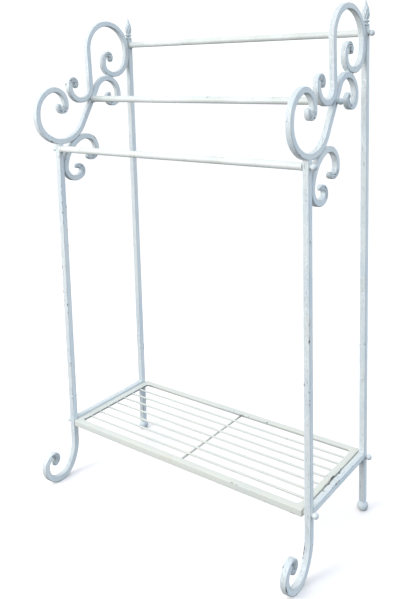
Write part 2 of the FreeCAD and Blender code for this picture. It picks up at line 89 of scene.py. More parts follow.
def node(tree, kind, links=(), **settings):
    """A node of that kind: settings are its own, and links give sockets a value or a source."""
    made = tree.nodes.new(kind)
    for name, value in settings.items():
        setattr(made, name, value)
    for socket, source in dict(links).items():
        if isinstance(source, bpy.types.NodeSocket):
            tree.links.new(source, made.inputs[socket])
        else:
            made.inputs[socket].default_value = source
    return made


def blend(tree, share, under, over):
    return node(tree, "ShaderNodeMix", {0: share, 6: under, 7: over}, data_type="RGBA").outputs[2]


def floor():
    material = bpy.data.materials.new("studio_floor")
    material.use_nodes = True
    shader = material.node_tree.nodes["Principled BSDF"]
    shader.inputs["Base Color"].default_value = FLOOR_COLOUR
    shader.inputs["Roughness"].default_value = 0.9
    shader.inputs["Specular IOR Level"].default_value = 0.1
    mesh = bpy.data.meshes.new("floor")
    sheet = bmesh.new()
    bmesh.ops.create_circle(sheet, cap_ends=True, segments=96, radius=FLOOR_RADIUS)
    sheet.to_mesh(mesh)
    sheet.free()
    mesh.materials.append(material)
    holder = bpy.data.objects.new("floor", mesh)
    bpy.context.scene.collection.objects.link(holder)
    holder.visible_diffuse = False
    holder.visible_glossy = False


def white_room():
    """Bright from above and from the sides, cooler on the right, darker from under the rack."""
    room = bpy.data.worlds.new("room")
    bpy.context.scene.world = room
    room.use_nodes = True
    tree = room.node_tree
    direction = node(tree, "ShaderNodeTexCoord").outputs["Generated"]
    across, _, height = node(tree, "ShaderNodeSeparateXYZ", {0: direction}).outputs

    def share(source, span):
        return node(tree, "ShaderNodeMapRange",
                    {"Value": source, "From Min": span[0], "From Max": span[1]}).outputs["Result"]

    walls = blend(tree, share(across, RIGHT_SPAN), ROOM_ABOVE, ROOM_RIGHT)
    room_light = blend(tree, share(height, BELOW_SPAN), ROOM_BELOW, walls)
    tree.links.new(room_light, tree.nodes["Background"].inputs["Color"])


studio_camera()
floor()
white_room()
soft_box("key_box", (-0.7, -1.7, 1.1), (0, 0, 0.5), KEY_SIZE, KEY_WATTS, KEY_COLOUR)

# ------------------------------------------------------------------- aged paint
# The whole rack is brushed with an off-white satin paint over dark steel.  The paint is a little
# uneven, thin and rubbed through along the arrises, and yellowed in patches.

PAINT = (0.69, 0.72, 0.72, 1)
PAINT_COOL = (0.61, 0.67, 0.70, 1)
PAINT_WARM = (0.70, 0.715, 0.69, 1)
PAINT_CREAM = (0.64, 0.64, 0.58, 1)
PAINT_DULL = (0.60, 0.62, 0.59, 1)
UNDERCOAT = (0.42, 0.42, 0.40, 1)
STAIN = (0.52, 0.46, 0.34, 1)
BARE_STEEL = (0.045, 0.040, 0.038, 1)


def mask(tree, source, low, high):
    """0 below low, 1 above high, smooth between."""
    return node(tree, "ShaderNodeMapRange", {"Value": source, "From Min": low, "From Max": high},
                interpolation_type="SMOOTHSTEP").outputs["Result"]


def sums(tree, operation, first, second):
    return node(tree, "ShaderNodeMath", {0: first, 1: second}, operation=operation).outputs[0]


def vectors(tree, operation, first, second):
    """Sum or difference of two vectors, or a vector times a number."""
    socket = "Scale" if operation == "SCALE" else 1
    return node(tree, "ShaderNodeVectorMath", {0: first, socket: second}, operation=operation).outputs[0]


def aged_paint(name, rubbed=1.0, chip_grain=70.0, worn=0.0, fresh=PAINT, dull=PAINT_COOL):
    """rubbed is how much of the arrises is worn, worn how much of the faces, and chip_grain how
    fine the chips are."""
    material = bpy.data.materials.new(name)
    material.use_nodes = True
    tree = material.node_tree
    shader = tree.nodes["Principled BSDF"]
    place = node(tree, "ShaderNodeTexCoord").outputs["Object"]

    def noise(scale, detail, roughness=0.6):
        return node(tree, "ShaderNodeTexNoise", {"Vector": place, "Scale": scale, "Detail": detail,
                                                 "Roughness": roughness}).outputs["Fac"]

    arris = node(tree, "ShaderNodeAttribute", attribute_name="arris").outputs["Fac"]
    worn_lengths = mask(tree, noise(6, 3), 0.46, 0.66)
    wear = sums(tree, "MULTIPLY", sums(tree, "MULTIPLY", arris, worn_lengths), 0.17 * rubbed)
    chip_height = sums(tree, "ADD", noise(chip_grain, 7, 0.72), sums(tree, "ADD", wear, worn))
    speck_height = noise(190, 4, 0.55)
    bare = sums(tree, "MAXIMUM", mask(tree, chip_height, 0.71, 0.74), mask(tree, speck_height, 0.755, 0.77))
    thin = mask(tree, chip_height, 0.645, 0.72)

    tone = blend(tree, mask(tree, noise(11, 5), 0.35, 0.7), fresh, dull)
    stained = blend(tree, sums(tree, "MULTIPLY", mask(tree, noise(17, 6), 0.58, 0.78), 0.35), tone, STAIN)
    mottled = blend(tree, sums(tree, "MULTIPLY", noise(95, 3), 0.10), stained, UNDERCOAT)
    rubbed_thin = blend(tree, sums(tree, "MULTIPLY", thin, 0.55), mottled, UNDERCOAT)
    colour = blend(tree, bare, rubbed_thin, BARE_STEEL)
    tree.links.new(colour, shader.inputs["Base Color"])
    tree.links.new(sums(tree, "ADD", sums(tree, "MULTIPLY", noise(60, 4), 0.22), 0.30),
                   shader.inputs["Roughness"])

    brush = noise(320, 3, 0.5)
    dimples = noise(95, 2, 0.5)
    height = sums(tree, "SUBTRACT", sums(tree, "ADD", sums(tree, "MULTIPLY", brush, 0.25), dimples),
                  sums(tree, "MULTIPLY", bare, 0.8))
    bump = node(tree, "ShaderNodeBump", {"Height": height, "Strength": 0.35, "Distance": 0.0004})
    tree.links.new(bump.outputs["Normal"], shader.inputs["Normal"])
    shader.inputs["Specular IOR Level"].default_value = 0.45
    return material


frame_paint = aged_paint("frame_paint", worn=0.012)

# --------------------------------------------------------------------- side frames
# Each side frame is square mild-steel bar, bent hot over a form, welded together and painted.
# The bars have soft arrises, slightly hammered faces and tips drawn out to a rounded point.

HAMMER_DEPTH = 0.00035
ARRIS_RADIUS = 0.0014
STEP = 0.002
# In widths of the bar: the taper behind a tip, and a distance from any tip that is past it.
TAPER_LENGTH, PLAIN_LENGTH = 3, 9
TIP_SHARE = 0.86


def geometry_tree(name, inputs):
    tree = bpy.data.node_groups.new(name, "GeometryNodeTree")
    tree.interface.new_socket("Geometry", in_out="INPUT", socket_type="NodeSocketGeometry")
    for label, kind in inputs.items():
        tree.interface.new_socket(label, in_out="INPUT", socket_type=f"NodeSocket{kind}")
    tree.interface.new_socket("Geometry", in_out="OUTPUT", socket_type="NodeSocketGeometry")
    return tree, tree.nodes.new("NodeGroupInput").outputs


def finish_tree(tree, geometry, paint):
    """Ends a tree: plain mesh, smooth, painted."""
    real = node(tree, "GeometryNodeRealizeInstances", {"Geometry": geometry}).outputs[0]
    smooth = node(tree, "GeometryNodeSetShadeSmooth", {"Geometry": real}).outputs[0]
    painted = node(tree, "GeometryNodeSetMaterial", {"Geometry": smooth, "Material": paint}).outputs[0]
    out = tree.nodes.new("NodeGroupOutput")
    tree.links.new(painted, out.inputs["Geometry"])


def square_profile(tree, given):
    """Closed square outline with round corners; its corners carry the arris mark."""
    square = node(tree, "GeometryNodeCurvePrimitiveQuadrilateral",
                  {"Width": given["Bar Size"], "Height": given["Bar Size"]}).outputs[0]
    split = node(tree, "GeometryNodeSubdivideCurve", {"Curve": square, "Cuts": 3}).outputs[0]
    rounded = node(tree, "GeometryNodeFilletCurve",
                   {"Curve": split, "Count": 3, "Radius": given["Corner Radius"],
                    "Limit Radius": True}, mode="POLY").outputs[0]
    where = node(tree, "ShaderNodeSeparateXYZ",
                 {0: node(tree, "GeometryNodeInputPosition").outputs[0]}).outputs
    across = sums(tree, "MINIMUM", sums(tree, "ABSOLUTE", where[0], 0), sums(tree, "ABSOLUTE", where[1], 0))
    share = sums(tree, "DIVIDE", across, given["Bar Size"])
    corner = mask(tree, share, 0.27, 0.38)
    return node(tree, "GeometryNodeStoreNamedAttribute",
                {"Geometry": rounded, "Name": "arris", "Value": corner}, data_type="FLOAT").outputs[0]


def bar_tree():
    """A square bar swept along the edges of a flat line drawn in X (the rack's Y) and Y (the rack's Z).
    The line's point attribute called thickness scales the bar, and Plane puts it in its plane."""
    tree, given = geometry_tree("square_bar", {
        "Bar Size": "Float", "Corner Radius": "Float", "Hammer Depth": "Float", "Plane": "Float",
        "Paint": "Material"})
    line = node(tree, "GeometryNodeMeshToCurve", {"Mesh": given["Geometry"]}).outputs[0]
    level = node(tree, "GeometryNodeSetCurveNormal", {"Curve": line}, mode="Z_UP").outputs[0]
    thickness = node(tree, "GeometryNodeInputNamedAttribute", {"Name": "thickness"},
                     data_type="FLOAT").outputs["Attribute"]
    sized = node(tree, "GeometryNodeSetCurveRadius", {"Curve": level, "Radius": thickness}).outputs[0]
    swept = node(tree, "GeometryNodeCurveToMesh",
                 {"Curve": sized, "Profile Curve": square_profile(tree, given), "Fill Caps": True,
                  "Scale": thickness}).outputs[0]
    grain = node(tree, "ShaderNodeTexNoise", {"Scale": 55.0, "Detail": 2.0}).outputs["Fac"]
    blow = sums(tree, "MULTIPLY", sums(tree, "SUBTRACT", grain, 0.5), given["Hammer Depth"])
    dent = vectors(tree, "SCALE", node(tree, "GeometryNodeInputNormal").outputs[0], blow)
    hammered = node(tree, "GeometryNodeSetPosition", {"Geometry": swept, "Offset": dent}).outputs[0]
    flat = node(tree, "ShaderNodeSeparateXYZ",
                {0: node(tree, "GeometryNodeInputPosition").outputs[0]}).outputs
    stood = node(tree, "ShaderNodeCombineXYZ",
                 {"X": sums(tree, "ADD", flat[2], given["Plane"]), "Y": flat[0], "Z": flat[1]}).outputs[0]
    upright = node(tree, "GeometryNodeSetPosition", {"Geometry": hammered, "Position": stood}).outputs[0]
    finish_tree(tree, upright, given["Paint"])
    return tree


def grow(name, mesh, tree, **settings):
    """The plain mesh that a tree makes of a starting mesh, as a new piece."""
    piece = bpy.data.objects.new(name, mesh)
    bpy.context.scene.collection.objects.link(piece)
    modifier = piece.modifiers.new("shape", "NODES")
    modifier.node_group = tree
    wanted = {label.replace("_", " "): value for label, value in settings.items()}
    for item in tree.interface.items_tree:
        if item.in_out == "INPUT" and item.name in wanted:
            modifier[item.identifier] = wanted[item.name]
    depsgraph = bpy.context.evaluated_depsgraph_get()
    grown = bpy.data.meshes.new_from_object(piece.evaluated_get(depsgraph), depsgraph=depsgraph)
    piece.modifiers.remove(modifier)
    piece.data = grown
    grown.name = name
    return piece


def follow(spans, heading):
    """Points along spans of ("arc", radius, turn) and ("line", length), from 0, 0."""
    points = [Vector((0, 0))]
    angle = math.radians(heading)
    for kind, *values in spans:
        turn = math.radians(values[1]) if kind == "arc" else 0
        length = abs(turn) * values[0] if kind == "arc" else values[0]
        pieces = max(1, round(length / STEP))
        half_turn = turn / pieces / 2
        chord = length / pieces * (math.sin(half_turn) / half_turn if half_turn else 1)
        for piece in range(pieces):
            middle = angle + half_turn * (2 * piece + 1)
            points.append(points[-1] + Vector((math.cos(middle), math.sin(middle))) * chord)
        angle += turn
    return points


def moved(points, y, z):
    return [point + Vector((y, z)) for point in points]


def middle_of(values):
    return (min(values) + max(values)) / 2


def into_box(points, node_name):
    """The line moved so that it fills the height and depth of that CAD piece."""
    low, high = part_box(node_name)
    return moved(points, (low.y + high.y) / 2 - middle_of([point.x for point in points]),
                 (low.z + high.z) / 2 - middle_of([point.y for point in points]))


def line_mesh(name, points, tips, bar):
    """Edges along the line; tips says which of its two ends are drawn out."""
    run = [0.0]
    for before, after in zip(points, points[1:]):
        run.append(run[-1] + (after - before).length)
    thickness = []
    for along in run:
        from_tip = min([along] * tips[0] + [run[-1] - along] * tips[1] + [bar * PLAIN_LENGTH])
        thickness.append(tip_thickness(from_tip, bar))
    mesh = bpy.data.meshes.new(name)
    mesh.from_pydata([(point.x, point.y, 0) for point in points],
                     [(index, index + 1) for index in range(len(points) - 1)], [])
    mesh.attributes.new("thickness", "FLOAT", "POINT").data.foreach_set("value", thickness)
    return mesh


def tip_thickness(from_tip, bar):
    """Share of the full bar: a rounded end, and a gentle taper behind it."""
    taper = TIP_SHARE + (1 - TIP_SHARE) * min(1, from_tip / (bar * TAPER_LENGTH))
    inside = min(1, (from_tip + bar * 0.02) / (bar * 0.5))
    return taper * math.sqrt(max(0, 1 - (1 - inside) ** 2))


square_bar = bar_tree()
# Each scroll is a first heading and its stretches, tip to tip: ("arc", radius, turn in degrees) or
# ("line", length).  TIP is half a bar, for the round end past the last bend.
TIP = ("line", 0.0055)
SCROLLS = {
    "lower_scroll": (-97, [TIP, ("arc", 0.0085, 185), ("line", 0.005), ("arc", 0.029, 112),
                           ("arc", 0.048, 70), ("line", 0.005), ("arc", 0.048, 46), ("arc", 0.062, 104),
                           ("line", 0.0893), ("arc", 0.0325, -150), ("line", 0.004), ("arc", 0.017, -140),
                           ("arc", 0.0085, -110), TIP]),
    "bracket_scroll": (-42, [TIP, ("arc", 0.013, 60), ("arc", 0.015, 60), ("arc", 0.028, 87),
                             ("arc", 0.0365, 41), ("arc", 0.070, 54), ("arc", 0.027, 10),
                             ("arc", 0.025, 126), ("arc", 0.011, 157), TIP]),
}
UPPER_HEADING = 62
UPPER_LOOP = [TIP, ("arc", 0.008, 150), ("arc", 0.020, 58), ("line", 0.003), ("arc", 0.020, 60),
              ("arc", 0.038, 96), ("arc", 0.057, 24), ("line", 0.005), ("arc", 0.0555, 86),
              ("arc", 0.055, 96)]
UPPER_CURL = [("arc", 0.026, -85), ("arc", 0.029, -97), ("line", 0.005), ("arc", 0.0085, -210), TIP]
FOOT_HEADING = 26
FOOT_CURL = [("line", 0.006), ("arc", 0.0095, 160), ("arc", 0.020, 80), ("arc", 0.0345, 150),
             ("arc", 0.090, 34)]


def upper_scroll_line(node_name, bar):
    """The straight bar between loop and curl is as long as the piece's height leaves."""
    low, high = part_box(node_name)
    loop = follow(UPPER_LOOP, UPPER_HEADING)
    curl = follow(UPPER_LOOP + UPPER_CURL, UPPER_HEADING)[len(loop):]
    bare = max(point.y for point in loop) - min(point.y for point in curl)
    fall = [("line", high.z - low.z - bar - bare)]
    return into_box(follow(UPPER_LOOP + fall + UPPER_CURL, UPPER_HEADING), node_name)


def leg_line(node_name, bar):
    """From the tip of the foot's curl up to the top of the leg."""
    low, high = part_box(node_name)
    curl = follow(FOOT_CURL, FOOT_HEADING)
    curl = moved(curl, high.y - bar / 2 - curl[-1].x, low.z + bar / 2 - min(point.y for point in curl))
    shaft = follow([("line", high.z - curl[-1].y)], 90)
    return curl + moved(shaft, curl[-1].x, curl[-1].y)[1:]


def straight_line(node_name, along):
    low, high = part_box(node_name)
    middle = (low + high) / 2
    if along == "z":
        return moved(follow([("line", high.z - low.z)], 90), middle.y, low.z)
    return moved(follow([("line", high.y - low.y)], 0), low.y, middle.z)


BAR_LINES = {}
for side in ("left", "right"):
    low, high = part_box(f"{side}_lower_scroll")
    scroll_bar = high.x - low.x
    low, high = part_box(f"{side}_rear_post")
    post_bar = high.x - low.x
    bars = {name: (into_box(follow(spans, heading), f"{side}_{name}"), (1, 1), scroll_bar)
            for name, (heading, spans) in SCROLLS.items()}
    bars["upper_scroll"] = (upper_scroll_line(f"{side}_upper_scroll", scroll_bar), (1, 1), scroll_bar)
    bars["front_leg"] = (leg_line(f"{side}_front_leg", post_bar), (1, 0), post_bar)
    bars["rear_post"] = (straight_line(f"{side}_rear_post", "z"), (0, 0), post_bar)
    bars["crossbar"] = (straight_line(f"{side}_crossbar", "y"), (0, 0), post_bar)
    for name, (line, tips, bar) in bars.items():
        low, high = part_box(f"{side}_{name}")
        plane = (low.x + high.x) / 2
        piece = grow(f"{side}_{name}_bar", line_mesh(name, line, tips, bar), square_bar,
                     Bar_Size=bar - HAMMER_DEPTH, Corner_Radius=ARRIS_RADIUS, Hammer_Depth=HAMMER_DEPTH,
                     Plane=plane, Paint=frame_paint)
        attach(piece, "root")
        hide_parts(f"{side}_{name}")
        BAR_LINES[side, name] = line

# --------------------------------------------------------------------- feet and buds
# The ball feet and the buds are small castings, welded to the ends of the rear posts.  A bud is
# a turned core on two ring collars, wrapped in rows of pointed leaves.


def turned(name, outline, sides, material):
    """Closed mesh turned about Z from (radius, height) points; the first and last are poles."""
    shape = bmesh.new()
    rings = []
    for radius, height in outline:
        if radius == 0:
            rings.append([shape.verts.new((0, 0, height))])
        else:
            rings.append([shape.verts.new((radius * math.cos(2 * math.pi * side / sides),
                                           radius * math.sin(2 * math.pi * side / sides), height))
                          for side in range(sides)])
    for lower, upper in zip(rings, rings[1:]):
        for side in range(sides):
            after = (side + 1) % sides
            corners = [lower[side % len(lower)], lower[after % len(lower)],
                       upper[after % len(upper)], upper[side % len(upper)]]
            shape.faces.new(list(dict.fromkeys(corners)))
    bmesh.ops.recalc_face_normals(shape, faces=shape.faces)
    for face in shape.faces:
        face.smooth = True
    mesh = bpy.data.meshes.new(name)
    shape.to_mesh(mesh)
    shape.free()
    mesh.materials.append(material)
    return mesh


def bulge(start, end, swell, steps):
    """Points of a rounded stretch between two (radius, height) points."""
    points = []
    for step in range(steps + 1):
        share = step / steps
        radius = start[0] + (end[0] - start[0]) * share + swell * math.sin(math.pi * share)
        points.append((radius, start[1] + (end[1] - start[1]) * share))
    return points


def add_piece(name, mesh, node_name):
    piece = bpy.data.objects.new(name, mesh)
    bpy.context.scene.collection.objects.link(piece)
    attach(piece, "root")
    if node_name:
        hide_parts(node_name)
    return piece


def leaf_mesh(name, length, width, thickness):
    """One leaf standing on its base: pointed, ridged down the middle, curling outwards a little."""
    shape = bmesh.new()
    bmesh.ops.create_uvsphere(shape, u_segments=10, v_segments=8, radius=0.5)
    for vertex in shape.verts:
        x, y, z = vertex.co
        share = z + 0.5
        point = math.sqrt(max(0.0, 1 - share ** 2.4))
        ridge = thickness * (y * (1.1 - abs(x)))
        curl = 0.16 * length * max(0, share - 0.6) ** 1.5
        vertex.co = Vector((x * width * (0.35 + 0.65 * point), ridge - curl, share * length))
    mesh = bpy.data.meshes.new(name)
    shape.to_mesh(mesh)
    shape.free()
    return mesh


def leaf_row_tree():
    """Rows of the given leaf round a bud; each row is turned by half a leaf and smaller."""
    tree, given = geometry_tree("leaf_rows", {
        "Leaves": "Int", "Rows": "Int", "Radius": "Float", "Pitch": "Float", "Centre": "Vector",
        "Paint": "Material"})
    count = sums(tree, "MULTIPLY", given["Leaves"], given["Rows"])
    points = node(tree, "GeometryNodePoints", {"Count": count}).outputs[0]
    index = node(tree, "GeometryNodeInputIndex").outputs[0]
    row = sums(tree, "FLOOR", sums(tree, "DIVIDE", sums(tree, "ADD", index, 0.25), given["Leaves"]), 0)
    share = sums(tree, "DIVIDE", row, given["Rows"])
    place_in_row = sums(tree, "ADD", index, sums(tree, "MULTIPLY", row, 0.5))
    angle = sums(tree, "MULTIPLY", sums(tree, "DIVIDE", place_in_row, given["Leaves"]), 2 * math.pi)
    swell = sums(tree, "SINE", sums(tree, "ADD", sums(tree, "MULTIPLY", share, 2.35), 0.72), 0)
    radius = sums(tree, "MULTIPLY", given["Radius"], swell)
    forward = sums(tree, "MULTIPLY", radius, sums(tree, "COSINE", angle, 0))
    offset = node(tree, "ShaderNodeCombineXYZ",
                  {"X": sums(tree, "MULTIPLY", radius, sums(tree, "SINE", angle, 0)),
                   "Y": sums(tree, "MULTIPLY", forward, -1),
                   "Z": sums(tree, "MULTIPLY", row, given["Pitch"])}).outputs[0]
    place = vectors(tree, "ADD", offset, given["Centre"])
    put = node(tree, "GeometryNodeSetPosition", {"Geometry": points, "Position": place}).outputs[0]
    lean = sums(tree, "SUBTRACT", 0.16, sums(tree, "MULTIPLY", share, 0.62))
    turn = node(tree, "ShaderNodeCombineXYZ", {"X": lean, "Z": angle}).outputs[0]
    size = sums(tree, "SUBTRACT", 1.0, sums(tree, "MULTIPLY", share, 0.42))
    copies = node(tree, "GeometryNodeInstanceOnPoints",
                  {"Points": put, "Instance": given["Geometry"], "Rotation": turn, "Scale": size}).outputs[0]
    finish_tree(tree, copies, given["Paint"])
    return tree


COLLAR_RADIUS, NECK_RADIUS, COLLAR_HEIGHT, COLLAR_GAP = 0.0075, 0.0048, 0.0045, 0.002
CORE_SWELL, FOOT_NECK, FOOT_BASE = 0.0024, 0.0060, 0.0065
LEAF_LENGTH, LEAF_WIDTH, LEAF_THICKNESS = 0.0135, 0.0062, 0.0044
LEAVES_IN_ROW, LEAF_ROWS, ROW_RADIUS, ROW_PITCH = 6, 4, 0.0056, 0.0066
leaf_rows = leaf_row_tree()
casting_paint = aged_paint("casting_paint", rubbed=0.8, chip_grain=110.0)
for side in ("left", "right"):
    low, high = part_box(f"{side}_finial")
    centre = (low + high) / 2
    collars_top = 2 * COLLAR_HEIGHT + COLLAR_GAP
    height = high.z - low.z
    outline = [(0, -0.001), (NECK_RADIUS, -0.001)]
    outline += bulge((NECK_RADIUS, 0), (NECK_RADIUS, COLLAR_HEIGHT), COLLAR_RADIUS - NECK_RADIUS, 8)
    outline += bulge((NECK_RADIUS, COLLAR_HEIGHT + COLLAR_GAP), (NECK_RADIUS, collars_top),
                     COLLAR_RADIUS - NECK_RADIUS, 8)
    outline += bulge((NECK_RADIUS, collars_top + 0.0004), (0.0012, height - 0.001), CORE_SWELL, 14)
    outline.append((0, height))
    core = turned(f"{side}_bud_core", outline, 32, casting_paint)
    core.transform(Matrix.Translation((centre.x, centre.y, low.z)))
    add_piece(f"{side}_bud_core", core, f"{side}_finial")
    leaf = leaf_mesh("leaf", LEAF_LENGTH, LEAF_WIDTH, LEAF_THICKNESS)
    leaves = grow(f"{side}_bud_leaves", leaf, leaf_rows, Leaves=LEAVES_IN_ROW, Rows=LEAF_ROWS,
                  Radius=ROW_RADIUS, Pitch=ROW_PITCH, Centre=(centre.x, centre.y, low.z + collars_top),
                  Paint=casting_paint)
    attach(leaves, "root")

    low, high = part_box(f"{side}_rear_foot")
    centre, height, widest = (low + high) / 2, high.z - low.z, (high.x - low.x) / 2
    middle = math.sqrt(widest ** 2 - FOOT_BASE ** 2)
    lowest, highest = -math.acos(FOOT_BASE / widest), math.acos(FOOT_NECK / widest)
    outline = [(0, 0)]
    for step in range(21):
        angle = lowest + (highest - lowest) * step / 20
        outline.append((widest * math.cos(angle), middle + widest * math.sin(angle)))
    outline += [(FOOT_NECK, height), (0, height)]
    foot = turned(f"{side}_ball_foot", outline, 40, casting_paint)
    foot.transform(Matrix.Translation((centre.x, centre.y, low.z)))
    add_piece(f"{side}_ball_foot", foot, f"{side}_rear_foot")

# --------------------------------------------------------------------- towel rails
# Three lengths of round steel tube with a ring pressed on each end, brushed with the same paint.
# Each is closed by a threaded plug and drawn up against the side frames by two ball bolts.

rail_paint = aged_paint("rail_paint", chip_grain=60.0, worn=0.06, fresh=PAINT_WARM, dull=PAINT_DULL)
RAILS = ("top", "middle", "front")


def rod_tree():
    """Round rods along the edges of lines that are already in place."""
    tree, given = geometry_tree("rods", {"Diameter": "Float", "Waviness": "Float", "Sides": "Int",
                                         "Paint": "Material"})
    line = node(tree, "GeometryNodeMeshToCurve", {"Mesh": given["Geometry"]}).outputs[0]
    drift = node(tree, "ShaderNodeTexNoise", {"Scale": 7.0, "Detail": 1.0}).outputs["Color"]
    bent = vectors(tree, "SCALE", vectors(tree, "SUBTRACT", drift, (0.5, 0.5, 0.5)), given["Waviness"])
    wavy = node(tree, "GeometryNodeSetPosition", {"Geometry": line, "Offset": bent}).outputs[0]
    thickness = node(tree, "GeometryNodeInputNamedAttribute", {"Name": "thickness"},
                     data_type="FLOAT").outputs["Attribute"]
    half = sums(tree, "MULTIPLY", given["Diameter"], 0.5)
    circle = node(tree, "GeometryNodeCurvePrimitiveCircle",
                  {"Resolution": given["Sides"], "Radius": half}).outputs[0]
    swept = node(tree, "GeometryNodeCurveToMesh", {"Curve": wavy, "Profile Curve": circle, "Fill Caps": True,
                                                   "Scale": thickness}).outputs[0]
    finish_tree(tree, swept, given["Paint"])
    return tree


def rod_mesh(name, ends, step, rounded):
    """Edges along each pair of end points; rounded is the length over which an end rounds off."""
    mesh = bpy.data.meshes.new(name)
    vertices, edges, thickness = [], [], []
    for start, end in ends:
        first = len(vertices)
        length = (end - start).length
        stops = [0, rounded * 0.25, rounded]
        stops += [length * share / round(length / step) for share in range(1, round(length / step))]
        stops += [length - rounded, length - rounded * 0.25, length]
        for stop in stops:
            vertices.append(start.lerp(end, stop / length))
            edge = min(1, min(stop, length - stop) / rounded)
            thickness.append(math.sqrt(0.55 + 0.45 * edge))
        edges += [(first + index, first + index + 1) for index in range(len(stops) - 1)]
    mesh.from_pydata(vertices, edges, [])
    mesh.attributes.new("thickness", "FLOAT", "POINT").data.foreach_set("value", thickness)
    return mesh


rods = rod_tree()
for name in RAILS:
    low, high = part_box(f"{name}_towel_rail")
    centre, diameter = (low + high) / 2, high.z - low.z
    ends = [(Vector((low.x, centre.y, centre.z)), Vector((high.x, centre.y, centre.z)))]
    tube = grow(f"{name}_rail_tube", rod_mesh(name, ends, 0.006, 0.0006), rods, Diameter=diameter,
                Waviness=0.0005, Sides=36, Paint=rail_paint)
    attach(tube, "root")
    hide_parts(f"{name}_towel_rail")

# --------------------------------------------------------------------- bolts and rings
# Ten ball-headed M4 bolts hold the rack together, six for the rails and four for the shelf.  The
# rail rings are pressed steel, and both were painted after assembly.


def copies_tree():
    """The given object on every point of a mesh, turned by its turn attribute."""
    tree, given = geometry_tree("copies", {"Original": "Object", "Seed": "Int", "Size Spread": "Float",
                                           "Turn Spread": "Float", "Paint": "Material"})
    original = node(tree, "GeometryNodeObjectInfo", {"Object": given["Original"]}).outputs["Geometry"]
    turn = node(tree, "GeometryNodeInputNamedAttribute", {"Name": "turn"}, data_type="FLOAT_VECTOR")
    loose = node(tree, "FunctionNodeRandomValue", {"Seed": given["Seed"]},
                 data_type="FLOAT_VECTOR").outputs[0]
    centred = vectors(tree, "SUBTRACT", loose, (0.5, 0.5, 0.5))
    spread = vectors(tree, "SCALE", centred, given["Turn Spread"])
    angles = vectors(tree, "ADD", turn.outputs["Attribute"], spread)
    size = vectors(tree, "ADD", vectors(tree, "SCALE", centred, given["Size Spread"]), (1, 1, 1))
    copies = node(tree, "GeometryNodeInstanceOnPoints",
                  {"Points": given["Geometry"], "Instance": original, "Rotation": angles,
                   "Scale": size}).outputs[0]
    finish_tree(tree, copies, given["Paint"])
    return tree


def copies_of(name, original, places, paint, **spread):
    """One piece holding a copy of the original mesh at each (place, turn)."""
    holder = bpy.data.objects.new("original", original)
    points = bpy.data.meshes.new(name)
    points.from_pydata([place for place, turn in places], [], [])
    turns = points.attributes.new("turn", "FLOAT_VECTOR", "POINT")
    turns.data.foreach_set("vector", [angle for place, turn in places for angle in turn])
    piece = grow(name, points, copies, Original=holder, Paint=paint, **spread)
    bpy.data.objects.remove(holder)
    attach(piece, "root")
    return piece


copies = copies_tree()
bolt_paint = aged_paint("bolt_paint", rubbed=0.6, chip_grain=120.0)
OUTWARDS = {"left": (0, -math.pi / 2, 0), "right": (0, math.pi / 2, 0)}
bolt_nodes = [f"{side}_{place}_bolt" for side in ("left", "right")
              for place in ("top_rail", "middle_rail", "front_rail", "front_shelf", "rear_shelf")]
low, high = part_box("right_top_rail_bolt")
ball_radius = (high.z - low.z) / 2
SEAT_RADIUS, SEAT_HEIGHT, BOLT_HOLD, BALL_SINK = 0.004, 0.0015, 0.004, 0.0008


def ball_bolt_mesh():
    """Ball head on a short waisted neck; Z = 0 is the face it is drawn up against."""
    middle = SEAT_HEIGHT + ball_radius - BALL_SINK
    first = math.asin(0.0033 / ball_radius)
    outline = [(0, -BOLT_HOLD), (0.002, -BOLT_HOLD), (0.002, -0.0001), (SEAT_RADIUS, 0),
               (SEAT_RADIUS + 0.0002, 0.0005), (SEAT_RADIUS - 0.0004, 0.0010)]
    for step in range(17):
        angle = first + (math.pi - first) * step / 16
        radius = ball_radius * math.sin(angle)
        outline.append((radius if step < 16 else 0, middle - ball_radius * math.cos(angle)))
    return turned("ball_bolt", outline, 28, bolt_paint)


bolt_places = []
for node_name in bolt_nodes:
    side = node_name.split("_")[0]
    low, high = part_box(node_name)
    outside = low.x if side == "left" else high.x
    inward = 1 if side == "left" else -1
    face = outside + inward * (SEAT_HEIGHT + 2 * ball_radius - BALL_SINK)
    bolt_places.append(((face, (low.y + high.y) / 2, (low.z + high.z) / 2), OUTWARDS[side]))
ball_bolts = copies_of("ball_bolts", ball_bolt_mesh(), bolt_places, bolt_paint)
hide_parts(*bolt_nodes)

ring_places = []
for name in RAILS:
    low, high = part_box(f"{name}_rail_rings")
    height = ((low.y + high.y) / 2, (low.z + high.z) / 2)
    ring_places += [((low.x, *height), OUTWARDS["right"]), ((high.x, *height), OUTWARDS["left"])]
ring_radius = (high.z - low.z) / 2
RING_LENGTH, RING_BORE, FRAME_BEVEL, RAIL_BEVEL = 0.004, 0.0060, 0.0005, 0.0006
ring_outline = [(RING_BORE, 0), (ring_radius - FRAME_BEVEL, 0), (ring_radius, FRAME_BEVEL),
                (ring_radius, RING_LENGTH - RAIL_BEVEL), (ring_radius - RAIL_BEVEL, RING_LENGTH),
                (RING_BORE, RING_LENGTH), (RING_BORE, 0)]
rail_ring = turned("rail_ring", ring_outline, 36, rail_paint)
rail_rings = copies_of("rail_rings", rail_ring, ring_places, rail_paint)
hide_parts(*[f"{name}_rail_rings" for name in RAILS])

# --------------------------------------------------------------------- shelf
# A frame of light angle iron, mitred and welded, with its inner corners filled by the weld, and
# seven long wires and one cross wire welded under its level flanges.

shelf_paint = aged_paint("shelf_paint", rubbed=1.05, chip_grain=48.0, fresh=PAINT_CREAM, dull=PAINT_DULL)
ANGLE_WALL, ANGLE_WIDTH = 0.002, 0.0125
OUTER_CORNER, INNER_CORNER = 0.0015, 0.0085
EDGE_RADIUS = 0.0005


